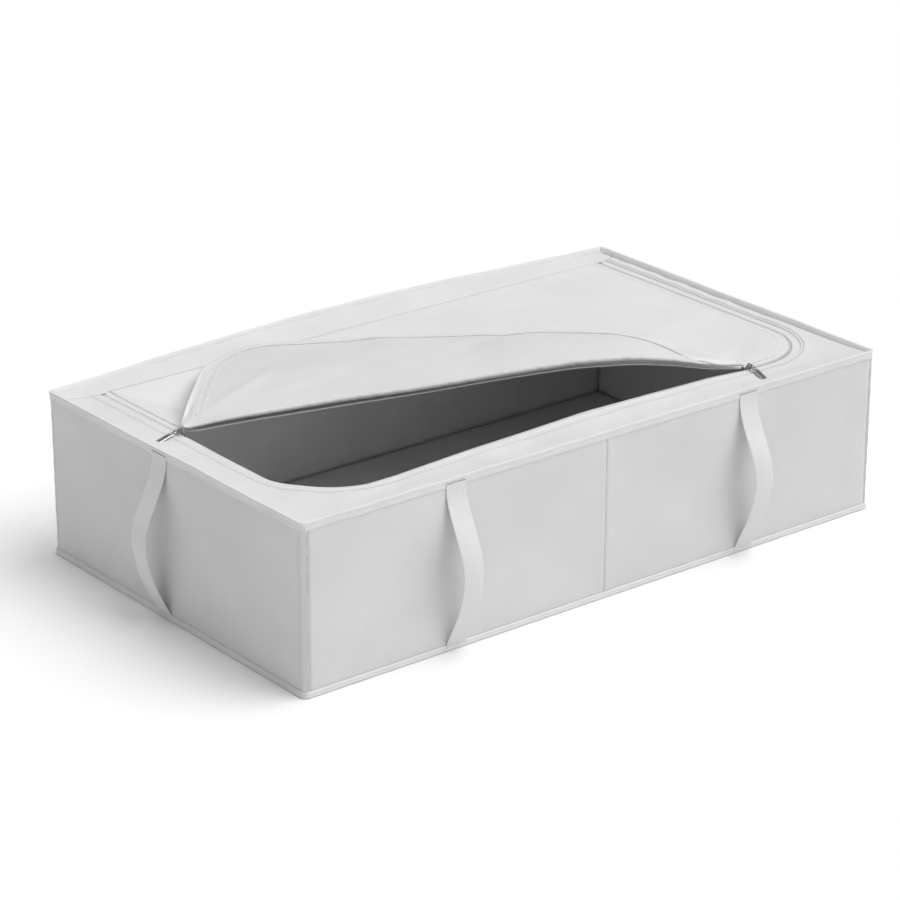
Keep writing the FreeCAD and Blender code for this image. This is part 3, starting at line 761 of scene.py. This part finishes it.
def make_zip():
    whole = np.arange(len(ZIP))
    left = np.arange(AT_LEFT + 1)
    right = np.arange(AT_RIGHT, len(ZIP))
    loose = np.arange(AT_LEFT + 2, AT_RIGHT - 1)
    tape_lift = -0.05 * MM
    coil_lift = -0.25 * MM
    tape("frame_zip_tape", "box", "frame_tape", whole, frame_side, tape_lift, -1)
    coil("frame_zip_coil", "box", "frame_teeth", whole, frame_side, coil_lift, 0.0)
    for side, index in (("left", left), ("right", right)):
        tape(side + "_lid_zip_tape", "lid", side + "_lid_tape", index, lid_side, tape_lift, 1)
        coil(side + "_lid_zip_coil", "lid", side + "_lid_teeth", index, lid_side, coil_lift, 0.5)
    tape("flap_zip_tape", "flap", "flap_tape", loose, flap_side, -tape_lift, 1)
    coil("flap_zip_coil", "flap", "flap_teeth", loose, flap_side, -coil_lift, 0.5)


def make_border():
    """The cloth between the rim and the zip, and the band between the rim and the lid's back edge."""
    index = np.arange(len(ZIP))
    reach = reach_to_rim(index)
    rows = [frame_side(index, np.full(len(index), CLOTH_EDGE + row * MM)) for row in HEM_ROWS]
    hem_end = CLOTH_EDGE + HEM_ROWS[-1] * MM
    for share in np.linspace(0, 1, 18)[1:]:
        rows.append(frame_side(index, hem_end + (reach - hem_end) * share))
    grid = np.stack(rows, axis=1)
    border = thicken(grid_object("top_border_cloth", grid, grid[..., :2]), BORDER_THICK)
    sew(border, "top_border", "box", "cloth", CLOTH, held="stretched",
        flat=(58 * MM, 2 * (HINGE_Y - FRONT) + RIGHT - LEFT + 100 * MM),
        rests_on=["rim_front", "rim_left", "rim_right"])
    flatten(border)

    xs = np.linspace(-RIM_X + RIM_WIDE / 2, RIM_X - RIM_WIDE / 2, 150)
    band_rows = []
    for share in np.linspace(0, 1, 12):
        bow = rim_bow(xs) * share
        y = BAND_FRONT + (RIM_Y - RIM_WIDE / 2 - BAND_FRONT) * share + BOW_OUT * bow
        level = BAND_FRONT + (RIM_Y - RIM_WIDE - BAND_FRONT) * share
        away = ease(share * 4)
        z = border_height(xs, level) + border_waves(xs, level) * away - 1.3 * MM * (1 - away)
        band_rows.append(np.stack([xs, y, z + BOW_UP * bow], axis=1))
    grid = np.stack(band_rows, axis=1)
    band = thicken(grid_object("back_band_cloth", grid[::-1], grid[::-1, :, :2]), BORDER_THICK)
    dress(band, "box", "cloth", CLOTH)


# ---------------------------------------------------------------- walls, bottom and lining

def wall(half, low, seed, puff, seam=False, bow=False):
    """A wall of cloth seen from outside: how far along it, out of it and up it each place is.
    It stands off its board by about puff, inwards when that is negative. A seam runs up its middle, and the
    bow is the back's."""
    high = WALL_TOP
    along = np.linspace(-half, half, int(2 * half / (7 * MM)))
    if seam:
        beside = np.array([0, 0.45, 1, 1.8, 3, 5, 9]) * MM
        along = np.unique(np.concatenate([along[np.abs(along) > beside[-1]], beside, -beside]))
    up = np.linspace(low, high, 34)
    a, z = np.meshgrid(along, up[::-1], indexing="ij")
    edge = np.minimum(np.minimum(half - np.abs(a), z - low), high - z)
    out = puff * (0.55 + 0.45 * ripple(a, z, 120 * MM, seed, 1.5)) * ease(edge / (25 * MM))
    near_foot = 1 - ease((z - low) / (30 * MM))
    near_rim = 1 - ease((high - z) / (26 * MM))
    out += 0.3 * puff * (1 + ripple(a, z, 26 * MM, seed + 40)) * near_foot
    out += 0.35 * puff * (1 + ripple(a, z, 30 * MM, seed + 50)) * near_rim
    out *= ease((RIM_LOW - z) / (6 * MM)) * ease((z - FOOT_TOP) / (6 * MM))
    if seam:
        pucker = ripple(a * 0, z, 17 * MM, seed + 7)
        near = np.abs(a)
        out += (0.5 * MM + 0.25 * MM * pucker) * bell(near - 5 * MM, 4 * MM)
        out -= 1.9 * MM * bell(near, 1.1 * MM)
    if bow:
        lean = ease((z - low) / (high - low)) * rim_bow(a)
        out += BOW_OUT * lean
        z = z + BOW_UP * lean * ease((z - low) / (high - low))
    grid = np.stack([a, out, z], axis=-1)
    return grid, np.stack([a, z], axis=-1)


WALLS = {
    "front": (WALL_X, WALL_Y, 0, INSIDE_X, INSIDE_Y),
    "right": (WALL_Y, WALL_X, 90, INSIDE_Y, INSIDE_X),
    "back": (WALL_X, WALL_Y, 180, INSIDE_X, INSIDE_Y),
    "left": (WALL_Y, WALL_X, 270, INSIDE_Y, INSIDE_X),
}
CORNER = 6 * MM


def turned(grid, off, turn):
    """Stands a wall's grid off the middle by off, and turns it about the upright axis from the front."""
    cosine = math.cos(math.radians(turn))
    sine = math.sin(math.radians(turn))
    a, out, z = np.moveaxis(grid, -1, 0)
    y = -(off + out)
    return np.stack([a * cosine - y * sine, a * sine + y * cosine, z], axis=-1)


def make_walls():
    for number, (side, (half, off, turn, inside_half, inside_off)) in enumerate(WALLS.items()):
        long = side in ("front", "back")
        boards = [side + "_board_left", side + "_board_right"] if long else [side + "_board"]
        grid, uv = wall(half - CORNER, WALL_FOOT, 3 + number, 1.6 * MM, seam=long, bow=side == "back")
        outer = grid_object(side + "_wall_cloth", turned(grid, off - CLOTH_THICK, turn), uv)
        sew(thicken(outer, CLOTH_THICK), side + "_skin", "box", "cloth", CLOTH,
            flat=(2 * half, TOP), held="stretched", rests_on=boards)
        grid, uv = wall(inside_half, INSIDE_Z, 23 + number, -2 * MM)
        inner = grid_object(side + "_lining_cloth", turned(grid, inside_off - 0.6 * MM, turn), uv)
        sew(thicken(inner, 0.8 * MM), side + "_lining", "box", "lining", LINING,
            flat=(2 * inside_half, TOP - INSIDE_Z), held="stretched", rests_on=["bottom_lining"])


def make_bottom():
    under_x, under_y = WALL_X - CLOTH_THICK, WALL_Y - CLOTH_THICK
    for name, node, half_x, half_y, z, puff, seed, material, slot in (
            ("bottom_cloth", "bottom_skin", under_x, under_y, 0.6 * MM, -0.25 * MM, 61, CLOTH, "cloth"),
            ("bottom_lining_cloth", "bottom_lining", INSIDE_X, INSIDE_Y, INSIDE_Z, 1.2 * MM, 67,
             LINING, "lining")):
        x, y = np.meshgrid(np.linspace(-half_x, half_x, 90), np.linspace(-half_y, half_y, 56), indexing="ij")
        edge = ease(np.minimum(half_x - np.abs(x), half_y - np.abs(y)) / (30 * MM))
        lumps = (1 + ripple(x, y, 150 * MM, seed)) * edge
        height = z + puff * lumps - 0.5 * puff * bell(x, 3 * MM)
        piece = grid_object(name, np.stack([x, y, height], axis=-1), np.stack([x, y], axis=-1))
        sew(thicken(piece, 0.6 * MM, -1), node, "box", slot, material, flat=(2 * half_x, 2 * half_y),
            held="laid", rests_on=["bottom_board_left", "bottom_board_right"])


def make_corners():
    """The sewn upright edges: the cloth turned round the corner, with the seam's ridge down one side."""
    for end, x_side in (("left", -1), ("right", 1)):
        for side, y_side in (("front", -1), ("back", 1)):
            up = np.linspace(WALL_FOOT, WALL_TOP, 60)
            turn = np.linspace(-8, 98, 19)
            rows = []
            for z in up:
                radius = np.full(len(turn), CORNER + 0.15 * MM)
                radius += 1.3 * MM * bell(turn - 17, 7)
                radius -= 1.1 * MM * bell(turn - 4, 4)
                radius += 0.25 * MM * ripple(z, 0.0, 21 * MM, 71 + x_side + 3 * y_side)
                angle = np.radians(turn)
                x = x_side * (WALL_X - CORNER + radius * np.sin(angle))
                y = y_side * (WALL_Y - CORNER + radius * np.cos(angle))
                rows.append(np.stack([x, y, np.full(len(turn), z)], axis=1))
            grid = np.stack(rows)
            if x_side * y_side > 0:
                grid = grid[:, ::-1]
            corner = side + "_" + end
            piece = thicken(grid_object("corner_edge_" + corner, grid), CLOTH_THICK, -1)
            sew(piece, "corner_welt_" + corner, "box", "cloth", CLOTH,
                flat=(14 * MM, TOP), held="stretched", rests_on=[side + "_skin"])


def ring_line(half_x, half_y, radius):
    """A closed rounded rectangle from the front's left end: points, ways out, and which side each is on."""
    step = 7 * MM
    points = []
    outs = []
    sides = []
    corners = [(-1, -1, 180), (1, -1, 270), (1, 1, 0), (-1, 1, 90)]
    names = list(WALLS)
    for k, (sx, sy, first) in enumerate(corners):
        centre = np.array([sx * (half_x - radius), sy * (half_y - radius)])
        for turn in np.linspace(first, first + 90, 9):
            out = np.array([math.cos(math.radians(turn)), math.sin(math.radians(turn))])
            points.append(centre + out * radius)
            outs.append(out)
            sides.append(names[k] if turn > first + 44 else names[k - 1])
        nx, ny, _ = corners[(k + 1) % 4]
        start = points[-1]
        end = np.array([nx * (half_x - radius), ny * (half_y - radius)]) + outs[-1] * radius
        count = int(math.dist(start, end) / step)
        for j in range(1, count):
            points.append(start + (end - start) * j / count)
            outs.append(outs[-1])
            sides.append(names[k])
    return np.array(points), np.array(outs), np.array(sides)


def ring_side(points, outs, sides, name):
    """One side's length of a ring, from mitre to mitre."""
    index = np.flatnonzero(sides == name)
    breaks = np.flatnonzero(np.diff(index) > 1)
    if len(breaks):
        index = np.concatenate([index[breaks[0] + 1:], index[:breaks[0] + 1]])
    after = (index[-1] + 1) % len(points)
    index = np.append(index, after)
    return points[index], outs[index]


def lift_rim(points):
    """Bows the back length of the rim out and up, as the wall under it bellies."""
    share = rim_bow(points[:, 0])
    return points + np.stack([np.zeros(len(points)), BOW_OUT * share], axis=1), BOW_UP * share


def make_edges():
    """The folded strips sewn over the top and bottom edges."""
    rim_section = np.array([
        (-10.6, -10.0), (-9.6, -10.4), (-4.0, -3.4), (-2.6, -2.0), (-1.8, -2.4), (-1.7, -10.8), (-0.7, -11.0),
        (-0.45, -10.0), (-0.85, -8.6), (-0.55, -6.8), (-0.6, -4.2), (-0.4, -3.0), (0.1, -2.3), (0.25, -1.0),
        (0.0, -0.3), (-0.6, 0.0), (-2.8, 0.0), (-3.7, -0.5), (-4.9, -2.0), (-11.0, -9.0)]) * MM
    foot_section = np.array([
        (-3.4, 0.9), (-1.2, 0.25), (-0.4, 0.9), (0.0, 2.2), (-0.2, 3.6), (-0.9, 4.6), (-0.7, 6.0),
        (-1.0, 7.4), (-2.0, 8.0), (-3.4, 7.8)]) * MM
    seams = []
    for prefix, section, half_x, half_y, radius, level, seam_out, seam_up in (
            ("rim_", rim_section, RIM_X, RIM_Y, 7.5 * MM, TOP, -0.8 * MM, -8.6 * MM),
            ("bottom_binding_", foot_section, FOOT_X, FOOT_Y, 9 * MM, 0.0, -0.65 * MM, 6.0 * MM)):
        points, outs, sides = ring_line(half_x, half_y, radius)
        for number, name in enumerate(WALLS):
            line, out = ring_side(points, outs, sides, name)
            rise = np.zeros(len(line))
            if level and name == "back":
                line, rise = lift_rim(line)
            run = line @ np.array([1.0, 0.37])
            ends = ease(np.minimum(np.arange(len(line)), np.arange(len(line))[::-1]) / 6)
            wave = ends * 0.45 * MM * ripple(run, run * 0, 70 * MM, 81 + number)
            push = ends * 0.35 * MM * ripple(run, run * 0, 33 * MM, 91 + number)
            z = level + rise + (wave if level else 0.25 * np.abs(wave))
            centres = np.column_stack([line + out * push[:, None], z])
            out3 = np.column_stack([out, np.zeros(len(out))])
            piece = sweep(prefix + name + "_edge", centres, out3, section)
            dress(piece, "box", "binding", BINDING)
            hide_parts(prefix + name)
            seams.append((centres + out3 * seam_out + UP * seam_up, out3[len(out3) // 2]))
    return seams


# ---------------------------------------------------------------- carrying straps

STRAP_WIDE = 30 * MM
STRAP_THICK = 1.5 * MM
BOW = 34 * MM
STRAP_LOW = FOOT_TOP - 3 * MM
STRAP_HIGH = RIM_LOW + 5 * MM


def strap_bow(z):
    """How far the strap stands off the wall at a height."""
    share = np.clip((z - FOOT_TOP) / (RIM_LOW - FOOT_TOP), 0, 1)
    return BOW * np.sin(math.pi * share) ** np.where(share < 0.5, 1.0, 2.0)


def strap_half(name, wall_side, low, high, seed, nodes):
    """Half a strap, from its sewn end to its middle, with thicker woven edges and a slight cup across.
    wall_side is how far the strap's wall stands off the middle, its turn, and where the strap is along it."""
    off, turn, anchor = wall_side
    half_wide = STRAP_WIDE / 2
    from_middle = np.array([0.25, 0.5, 0.71, 0.83, 0.91, 0.97, 1])
    across = half_wide * np.concatenate([-from_middle[::-1], [0], from_middle])
    step = (high - low) / 60
    up = np.arange(-1, 62) * step + low
    bow = strap_bow(up)
    slope = np.gradient(bow, up)
    lean = np.sqrt(1 + slope ** 2)
    loose = ease(bow / BOW * 1.5)
    a, z = np.meshgrid(across, up, indexing="ij")
    cup = 1.5 * MM * (1 - (a / half_wide) ** 2)
    out = bow + 0.4 * MM + STRAP_THICK / 2 + loose * (cup + 0.7 * MM * ripple(a * 0.4, z, 65 * MM, seed))
    edge = np.abs(a) / half_wide
    half = STRAP_THICK / 2 * (1 + 0.3 * (edge > 0.8)) * np.sqrt(np.clip(1.02 - edge ** 14, 0.05, 1))
    faces = [np.stack([a, out + push / lean, z - push * slope / lean], axis=-1) for push in (half, -half)]
    ring = np.swapaxes(np.concatenate([faces[0], faces[1][::-1]]), 0, 1)
    ring[..., 0] += (loose * 0.8 * MM * ripple(up, up * 0, 90 * MM, seed + 3))[:, None]
    placed = turned(ring, off, turn) + np.array([*anchor, 0.0])
    around_it = np.roll(placed, -1, axis=1) - np.roll(placed, 1, axis=1)
    normals = np.cross(around_it, np.gradient(placed, axis=0))[1:-1]
    placed = placed[1:-1]
    around = np.concatenate([across, across[::-1]])
    uv = np.stack(np.broadcast_arrays(up[1:-1, None], around[None, :]), axis=-1)
    piece = make_object(name, placed.reshape(-1, 3), tube_faces(*placed.shape[:2]), uv.reshape(-1, 2))
    piece.data.normals_split_custom_set_from_vertices(unit(normals).reshape(-1, 3).tolist())
    dress(piece, None, "webbing", WEBBING)
    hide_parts(*nodes)
    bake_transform(piece)


def make_straps():
    middle = (FOOT_TOP + RIM_LOW) / 2
    for number, place in enumerate(("front_left", "front_right", "left", "right")):
        handle = place + "_handle"
        low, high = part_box(handle)
        centre = (low + high) / 2
        if handle.startswith("front"):
            wall_side = (WALL_Y, 0, (centre.x, 0.0))
        else:
            wall_side = (WALL_X, 270 if handle.startswith("left") else 90, (0.0, centre.y))
        x, y = joint(handle + "_swing")["pos_m"][:2]
        for end, bottom, top, sewn, reach, nodes in (
                ("_upper", middle, STRAP_HIGH, RIM_LOW, -40 * MM, (handle, handle + "_ends")),
                ("_lower", STRAP_LOW, middle, FOOT_TOP, 40 * MM, (handle,))):
            strap_half(handle + end, wall_side, bottom, top,
                       101 + number, nodes)


# ---------------------------------------------------------------- metal and small parts

CORNER_POINTS = 5
LOOP_POINTS = 4 * CORNER_POINTS


def loop_points(half_x, half_y, radius):
    """A rounded rectangle about the origin."""
    points = []
    for k, (sx, sy) in enumerate(((1, 1), (-1, 1), (-1, -1), (1, -1))):
        for turn in np.linspace(90 * k, 90 * k + 90, CORNER_POINTS):
            points.append((sx * (half_x - radius) + radius * math.cos(math.radians(turn)),
                           sy * (half_y - radius) + radius * math.sin(math.radians(turn))))
    return np.array(points)


def plate(centre, levels):
    """Rounded rectangles, joined and closed. Each level is a half length, half width, radius and height."""
    loops = [np.column_stack([loop_points(a, b, r) + (centre, 0), np.full(LOOP_POINTS, z)])
             for a, b, r, z in levels]
    return np.concatenate(loops), tube_faces(len(loops), LOOP_POINTS)


def make_pull(side):
    """The pull: a flat bar with a long groove in its face, and an eye for the link at its near end."""
    node = side + "_pull_tab"
    source = frame["nodes"][node]
    places = np.array([source.matrix_world @ v.co for v in source.data.vertices])
    middle = (places.min(0) + places.max(0)) / 2
    axes = np.linalg.svd(places - places.mean(0), full_matrices=False)[2]
    along = axes[0] * np.sign(axes[0] @ (middle - np.array(joint(side + "_tab_swivel")["pos_m"])))
    up = axes[2] * np.sign(axes[2][2])
    across = np.cross(up, along)
    local = (places - middle) @ np.stack([along, across, up], axis=1)
    low, high = local.min(0), local.max(0)
    thick = (high[2] - low[2]) / 2
    wide = (high[1] - low[1]) / 2
    neck = 7.5 * MM
    half = (high[0] - low[0] - neck) / 2
    edge = 0.35 * MM
    radius = 1.9 * MM
    bar = [(half - edge, wide - edge, radius, -thick), (half, wide, radius, edge - thick),
           (half, wide, radius, thick - edge), (half - edge, wide - edge, radius, thick)]
    sunk = [(half - 4 * MM, wide - 2.5 * MM, 1.2 * MM, thick),
            (half - 4.3 * MM, wide - 2.8 * MM, 1.0 * MM, thick - 0.5 * MM)]
    points, faces = plate(high[0] - half, bar + sunk)
    # The groove's walls and floor take the darker nickel: painted shade in the recess.
    dark = [False] * (len(bar) * LOOP_POINTS) + [True] * LOOP_POINTS + [False, True]
    link_eye = low[0] + 2.8 * MM
    base = len(points)
    ring = []
    ring_steps = 28
    ring_section = ((1.5, -0.4), (1.5, 0.4), (1.9, 0.6), (2.5, 0.6),
                    (2.8, 0.3), (2.8, -0.3), (2.5, -0.6), (1.9, -0.6))
    for turn in np.linspace(0, 2 * math.pi, ring_steps, endpoint=False):
        for reach, level in ring_section:
            ring.append((link_eye + reach * MM * math.cos(turn), reach * MM * math.sin(turn), level * MM))
    ring_faces = grid_faces(ring_steps, len(ring_section), wrap_rows=True, wrap_columns=True)
    faces += [tuple(base + k for k in face) for face in ring_faces]
    points = np.concatenate([points, ring])
    base = len(points)
    neck_half = (neck - 3.6 * MM) / 2
    stem_levels = [(neck_half, stem_half, 0.3 * MM, level * MM)
                   for stem_half, level in ((2.3 * MM, -0.5), (2.5 * MM, 0.0), (2.3 * MM, 0.5))]
    stem, stem_faces = plate(low[0] + 4.4 * MM + neck_half, stem_levels)
    faces += [tuple(base + k for k in face) for face in stem_faces]
    points = np.concatenate([points, stem])
    world = middle + points @ np.stack([along, across, up])
    pull = make_object(side + "_pull_bar", world, faces, smooth=False)
    dress(pull, side + "_tab", "metal", METAL)
    pull.data.materials.append(SHADED_METAL)
    for face, is_dark in zip(pull.data.polygons, dark):
        face.material_index = int(is_dark)
    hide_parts(node)


def dress_cad_nodes():
    """Gives the boards and metal parts that stay as the CAD has them their materials."""
    looks = {"board": BOARD, "metal": METAL}
    record_slots = {part["node"]: part["material_slot"] for part in frame["record"]["subparts"]}
    for node, piece in frame["nodes"].items():
        material = looks.get(record_slots[node])
        # The links and crowns take the darker nickel: painted shade.
        if node.endswith("pull_link") or node.endswith("crown"):
            material = SHADED_METAL
        if material:
            piece.data.materials.clear()
            piece.data.materials.append(material)


def make_stitching(seams):
    stitches("edge_stitches", seams, "box")
    on_border = 1.3 * MM
    on_lid = 1.05 * MM
    on_flap = 0.8 * MM
    index = np.arange(len(ZIP))
    row_offset = np.full(len(index), CLOTH_EDGE + HEM_STITCH)
    frame_row = frame_side(index, row_offset) + UP * on_border
    # The border's stitches take the dark grey thread: painted shade along the hem.
    flatten(stitches("border_stitches", [(frame_row, UP)], "box", PAINTED_SHADE_THREAD))
    rows = []
    for part in (index[2:AT_LEFT + 1], index[AT_RIGHT:-2]):
        rows.append((lid_side(part, row_offset[part]) + UP * on_lid, UP))
    hinge_x = np.linspace(LEFT + CLOTH_EDGE, RIGHT - CLOTH_EDGE, 160)
    hinge = np.stack([hinge_x, np.full(len(hinge_x), HINGE_Y - 4 * MM)], axis=1)
    rows.append((np.column_stack([hinge, lid_height(hinge) + on_lid]), UP))
    flatten(stitches("lid_stitches", rows, "lid"))
    loose = index[AT_LEFT + 3:AT_RIGHT - 2]
    rows = []
    for offset in (13.6 * MM, 4.2 * MM):
        rows.append((flap_side(loose, np.full(len(loose), offset)) + UP * on_flap, UP))
    flatten(stitches("flap_stitches", rows, "flap"))


# ---------------------------------------------------------------- room, light and camera

def make_room():
    size = 9.0
    floor = make_object("floor", [(-size, -size, 0), (size, -size, 0), (size, size, 0), (-size, size, 0)],
                        [(0, 1, 2, 3)])
    n = Nodes("floor")
    colour = n.tint(n.noise(n.place(), 3.0), (0.93, 0.93, 0.93), (0.95, 0.95, 0.95))
    n.feed(colour, n.shader.inputs["Base Color"])
    n.shader.inputs["Roughness"].default_value = 0.9
    floor.data.materials.append(n.material)
    world = bpy.data.worlds.new("studio")
    world.use_nodes = True
    world.node_tree.nodes["Background"].inputs["Color"].default_value = (1.0, 1.0, 1.0, 1)
    world.node_tree.nodes["Background"].inputs["Strength"].default_value = 0.36
    bpy.context.scene.world = world
    for name, way, strength in (("key", (-0.40, 0.36, -0.86), 2.05), ("top", (-0.1, -0.25, -0.96), 0.62)):
        lamp = bpy.data.lights.new(name, "SUN")
        lamp.energy = strength
        lamp.angle = math.radians(50)
        holder = bpy.data.objects.new(name, lamp)
        holder.rotation_euler = Vector(way).to_track_quat("-Z", "Y").to_euler()
        bpy.context.scene.collection.objects.link(holder)


def make_camera():
    azimuth = math.radians(-38.44)
    elevation = math.radians(22.02)
    distance = 4.310
    target = Vector((0.0, 0.037, 0.101))
    back = Vector((math.sin(azimuth) * math.cos(elevation), -math.cos(azimuth) * math.cos(elevation),
                   math.sin(elevation)))
    data = bpy.data.cameras.new("camera")
    data.sensor_width = 36.0
    data.lens = 131.8
    camera = bpy.data.objects.new("camera", data)
    camera.location = target + back * distance
    camera.rotation_euler = (-back).to_track_quat("-Z", "Y").to_euler()
    bpy.context.scene.collection.objects.link(camera)
    bpy.context.scene.camera = camera
    bpy.context.scene.view_settings.view_transform = "Standard"


make_walls()
make_bottom()
make_corners()
edge_seams = make_edges()
make_border()
make_lid()
make_flap()
make_zip()
make_straps()
make_stitching(edge_seams)
make_pull("left")
make_pull("right")
dress_cad_nodes()
make_room()
make_camera()
